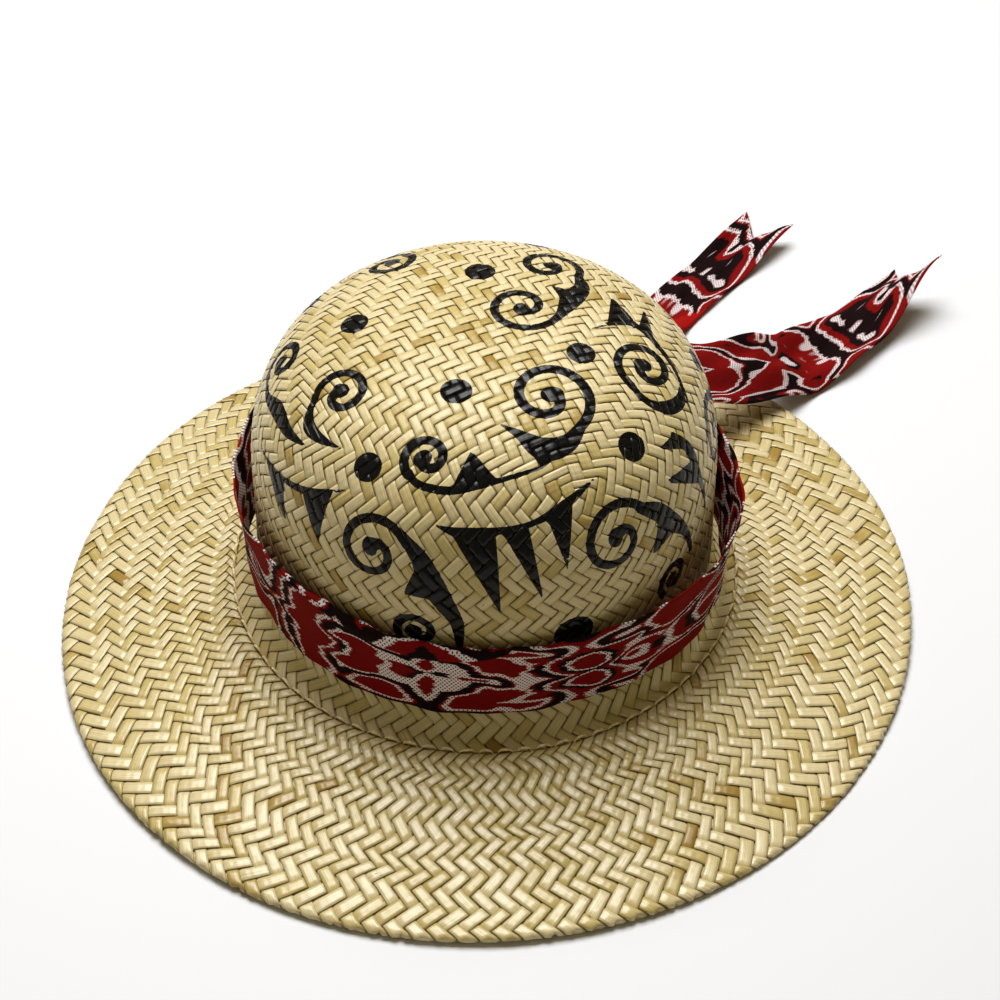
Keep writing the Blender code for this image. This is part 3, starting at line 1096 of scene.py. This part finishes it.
def bandSection(angle):
    # radius and height of the band's section from its lower edge to its upper edge, at one direction
    setup = clothBand
    lean = sumBumps(setup["standOff"], angle)
    foot = sumBumps(setup["lowerStandOff"], angle)
    dip = sumBumps(setup["dip"], angle)
    pinch = smoothBump(angle, setup["knotAngle"], setup["pinch"])
    share = np.linspace(0, 1, setup["columns"])
    flap = 0.0
    flapFrom, flapTo = setup["flap"]
    if flapFrom < angle < flapTo:
        position = (angle - flapFrom) / (flapTo - flapFrom)
        flap = setup["flapWidth"] * math.sin(math.pi * position ** 1.9) ** 0.8
    far = share * (setup["width"] + flap)
    over = np.maximum(far - setup["width"], 0)
    level = np.minimum(far, setup["width"]) - over
    height = setup["low"] + level * (1 - setup["pinchShare"] * pinch) + setup["pinchRise"] * pinch
    height = height - dip * (level / setup["width"]) ** 1.5
    lift = np.clip(over / 0.0012, 0, 1) + 0.6 * over / 0.006
    radius = setup["radius"] + foot + lean * (level / setup["width"]) ** 1.6 + 0.0017 * lift
    turns = math.radians(angle)
    ripple = 0.00035 * np.sin(17 * turns + 5 * share) + 0.0003 * np.sin(31 * turns - 7 * share)
    crease = 0.0007 * smoothBump(angle, 292, 46) * np.sin(9 * share + 2 * turns)
    pleat = 0.0011 * smoothBump(angle, setup["knotAngle"], 46) * np.sin(share * 6 * math.pi)
    return radius + ripple * (1 - np.minimum(lift, 1)) + crease + pleat, height


def makeBand(material):
    rows = []
    for step in range(clothBand["steps"]):
        angle = clothBand["knotAngle"] + 360 * step / clothBand["steps"]
        radius, height = bandSection(angle % 360)
        turn = math.radians(angle)
        rows.append(np.stack([radius * math.cos(turn), radius * math.sin(turn), height], 1))
    width, thickness = clothBand["width"], clothBand["thickness"]
    return clothStrip("cloth_band", np.array(rows), width, material, thickness, closed=True)


clothKnot = {
    "radius": 0.1026,
    "height": 0.0488,
    "depth": 0.0135,
    "breadth": 0.025,
    "tall": 0.025,
    "rings": 41,
    "around": 60,
    "wrapWidth": 0.015,
    "wrapCut": 0.060,
    "wrapSteps": 96,
    "printStart": 0.21,          # where the knot's cloth lies on the print
}


def knotFrame():
    turn = math.radians(clothBand["knotAngle"])
    out = np.array([math.cos(turn), math.sin(turn), 0])
    side = np.array([-math.sin(turn), math.cos(turn), 0])
    middle = out * clothKnot["radius"] + np.array([0, 0, clothKnot["height"]])
    return middle, out, side, np.array([0, 0, 1.0])


def makeKnotLump(material):
    # the bunched cloth under the wrap: pleats gather into the middle
    middle, out, side, up = knotFrame()
    rows = []
    for a in np.linspace(-1, 1, clothKnot["rings"]):
        waist = 1 - 0.30 * math.exp(-((a / 0.30) ** 2))
        swell = math.sqrt(max(1 - abs(a) ** 3.2, 0.0)) * waist
        ring = []
        for b in np.linspace(0, 2 * math.pi, clothKnot["around"] + 1)[:-1]:
            pleat = 1 + 0.09 * math.cos(7 * b + 1.4 * a) * (0.4 + abs(a)) + 0.04 * math.cos(13 * b - 2 * a)
            high = math.sin(b) * clothKnot["tall"] / 2 * swell * pleat
            deep = math.cos(b) * clothKnot["depth"] / 2 * swell * pleat
            ring.append(middle + side * a * clothKnot["breadth"] / 2 + up * high + out * deep)
        rows.append(ring)
    faces = tubeFaces(clothKnot["rings"], clothKnot["around"])[0]
    piece = meshPiece("knot_lump", np.array(rows).reshape(-1, 3), faces, material)
    run = np.arange(clothKnot["rings"]) * 0.0008 + clothKnot["printStart"]
    layCloth(piece, run, np.arange(clothKnot["around"] + 1) * 0.0009)
    return piece


def makeKnotWrap(material):
    # the turn of cloth that holds the knot, wrapped over the lump's waist
    middle, out, side, up = knotFrame()
    rows = []
    for b in np.linspace(0, 2 * math.pi, clothKnot["wrapSteps"] + 1)[:-1]:
        row = []
        for c in np.linspace(-1, 1, 13):
            crown = 1 - 0.16 * c ** 2 + 0.03 * math.cos(4 * math.pi * c) + 0.03 * math.sin(3 * b) * c
            high = math.sin(b) * (clothKnot["tall"] / 2 + 0.0006) * 0.86 * crown
            deep = math.cos(b) * (clothKnot["depth"] / 2 + 0.0012) * crown
            lean = 0.0030 * math.sin(b)
            width = clothKnot["wrapWidth"] / 2 * (1 - 0.18 * math.cos(b))
            row.append(middle + side * (c * width + lean) + up * high + out * deep)
        rows.append(row)
    width, thickness = clothKnot["wrapWidth"], clothBand["thickness"]
    return clothStrip("knot_wrap", np.array(rows), width, material, thickness, closed=True)


clothTails = {
    "rootRadius": 0.1106,
    "rootGap": 0.017,            # between the two tails where they leave the knot
    "rootHeight": 0.0438,
    "rootWidth": 0.014,
    "fallLength": 0.105,         # how far a tail hangs before it lies flat
    "lift": 0.0024,
    "thickness": 0.0007,
    "steps": 150,
    "columns": 17,
    "notchFrom": 0.80,           # share of the length where the forked end starts
    "hingeReach": 0.012,
    "cutShare": 0.86,            # flat area over length times width
}

# headings and tilts in degrees; each tilt and rise is (share of the length, reach, size)
tailPaths = {
    "left": {
        "side": 1, "length": 0.183, "width": 0.0275, "flare": 0.030, "notch": 0.013,
        "heading": 67.0, "bend": -50.0, "bow": -21.0, "plainTo": 0.088,
        "tilt": ((0.62, 0.25, 3.0), (1.0, 0.32, -12.0)), "rise": ((1.0, 0.30, 0.005),),
    },
    "right": {
        "side": -1, "length": 0.181, "width": 0.0325, "flare": 0.021, "notch": 0.013,
        "heading": 42.0, "bend": 14.0, "bow": 5.5, "plainTo": 0.0,
        "tilt": ((0.12, 0.35, 40.0), (0.40, 0.26, 34.0), (1.0, 0.34, -42.0)),
        "rise": ((0.62, 0.20, 0.007), (1.0, 0.30, 0.0035)),
    },
}


def tailRest(x, y):
    # the height that the cloth rests at: on the brim, over its edge and down to the floor
    radius = math.hypot(x, y)
    slope = math.tan(math.radians(hatShape["brimSlope"]))
    plain = hatShape["crownTop"] - hatShape["crownDepth"] - (radius - hatShape["seamRadius"]) * slope
    point = bendBrim(np.array([x, y, plain]))
    fade = min(max((hatShape["brimRadius"] + 0.03 - radius) / 0.03, 0), 1)
    height = plain + (point[2] - plain) * fade
    return max(height + clothTails["lift"], clothTails["thickness"] / 2 + 0.0006)


def bumpsAlong(bumps, share):
    total = 0
    for middle, width, size in bumps:
        away = min(abs(share - middle) / width, 1)
        total += size * (0.5 + 0.5 * math.cos(math.pi * away))
    return total


def makeTail(which, material):
    setup = tailPaths[which]
    turn = math.radians(clothBand["knotAngle"])
    out = np.array([math.cos(turn), math.sin(turn)])
    across = np.array([-math.sin(turn), math.cos(turn)])
    place = out * clothTails["rootRadius"] + across * setup["side"] * clothTails["rootGap"] / 2
    steps, columns = clothTails["steps"], clothTails["columns"]
    stride = setup["length"] / steps
    drop = clothTails["rootHeight"] - tailRest(*place)
    rows, plain = [], []
    for step in range(steps + 1):
        share = step / steps
        far = share * setup["length"]
        heading = setup["heading"] + setup["bend"] * (share - 0.5)
        heading = math.radians(heading + setup["bow"] * (4 * share * (1 - share) - 0.5))
        hanging = max(1 - far / clothTails["fallLength"], 0) ** 2
        flare = min(far / setup["flare"], 1)
        flare = flare * flare * (3 - 2 * flare)
        half = (clothTails["rootWidth"] + (setup["width"] - clothTails["rootWidth"]) * flare) / 2
        tilt = math.radians(bumpsAlong(setup["tilt"], share))
        rise = bumpsAlong(setup["rise"], share)
        notch = setup["notch"] * max(share - clothTails["notchFrom"], 0) / (1 - clothTails["notchFrom"])
        ahead = np.array([math.cos(heading), math.sin(heading)])
        side = np.array([-math.sin(heading), math.cos(heading)])
        row, marks = [], []
        for column in range(columns):
            offset = 2 * column / (columns - 1) - 1
            flat = place + side * offset * half * math.cos(tilt)
            flat = flat - ahead * (1 - abs(offset)) * notch
            ripple = 0.0011 * math.sin(offset * 5.0 + share * 9 + setup["side"]) * flare
            ripple += 0.0006 * math.sin(offset * 9.0 - share * 23)
            pleat = 0.0016 * (1 - flare) * math.cos(offset * 3 * math.pi)
            height = tailRest(*flat) + drop * hanging + rise * offset ** 2
            height += half * (offset * math.sin(tilt) + abs(math.sin(tilt)))
            row.append((*flat, max(height + ripple + pleat, 0.0009)))
            marks.append(1.0 if far < setup["plainTo"] * (1 - 0.24 * offset) else 0.0)
        rows.append(row)
        plain.append(marks)
        place = place + ahead * stride
    name, thickness = "cloth_tail_" + which, clothTails["thickness"]
    return clothStrip(name, np.array(rows), setup["width"], material, thickness, plain=np.array(plain))


# inner tape

innerTape = {
    "radius": 0.0902,
    "low": 0.0335,
    "width": 0.034,
    "cutLength": 0.566,
    "thickness": 0.0008,
    "steps": 240,
    "columns": 15,
    "lip": 0.0005,               # the two sewn edges stand in by this much
}


def makeTape(material):
    setup = innerTape
    rows = []
    for step in range(setup["steps"]):
        turn = 2 * math.pi * step / setup["steps"]
        share = np.linspace(0, 1, setup["columns"])
        lip = setup["lip"] * (np.exp(-((share / 0.08) ** 2)) + np.exp(-(((1 - share) / 0.08) ** 2)))
        puff = 0.0004 * np.sin(share * math.pi) * (1 + 0.5 * math.sin(23 * turn))
        puff = puff + 0.0002 * math.sin(41 * turn)
        radius = setup["radius"] - lip - puff
        height = setup["low"] + share * setup["width"]
        rows.append(np.stack([radius * math.cos(turn), radius * math.sin(turn), height], 1))
    grid = np.array(rows)
    return clothStrip("inner_tape", grid, setup["width"], material, setup["thickness"], closed=True)


# making the hat

crownStraw = strawMaterial("painted_straw", paintedFinish, painted=True)
brimStraw = strawMaterial("bare_straw", strawFinish)
cotton = printedCotton("printed_cotton", printFinish)

for piece in makeCrownWeave(crownStraw):
    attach(piece, "hat")
    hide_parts("crown")
print("crown woven and painted")
for piece in makeBrimWeave(brimStraw):
    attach(piece, "hat")
    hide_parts("brim", "brim_edge")
print("brim woven")

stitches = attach(makeStitches(threadMaterial(threadFinish)), "hat")
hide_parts("seam_thread")
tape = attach(makeTape(tapeMaterial(tapeFinish)), "hat")
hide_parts("sweatband")
print("stitches and inner tape made")

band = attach(makeBand(cotton), "ribbon")
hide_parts("ribbon_band")
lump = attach(makeKnotLump(cotton), "ribbon")
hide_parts("ribbon_knot")
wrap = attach(makeKnotWrap(cotton), "ribbon")
for which in ("left", "right"):
    tail = makeTail(which, cotton)
    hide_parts("ribbon_tail_" + which)
    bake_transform(tail)
print("cloth band, knot and tails made")
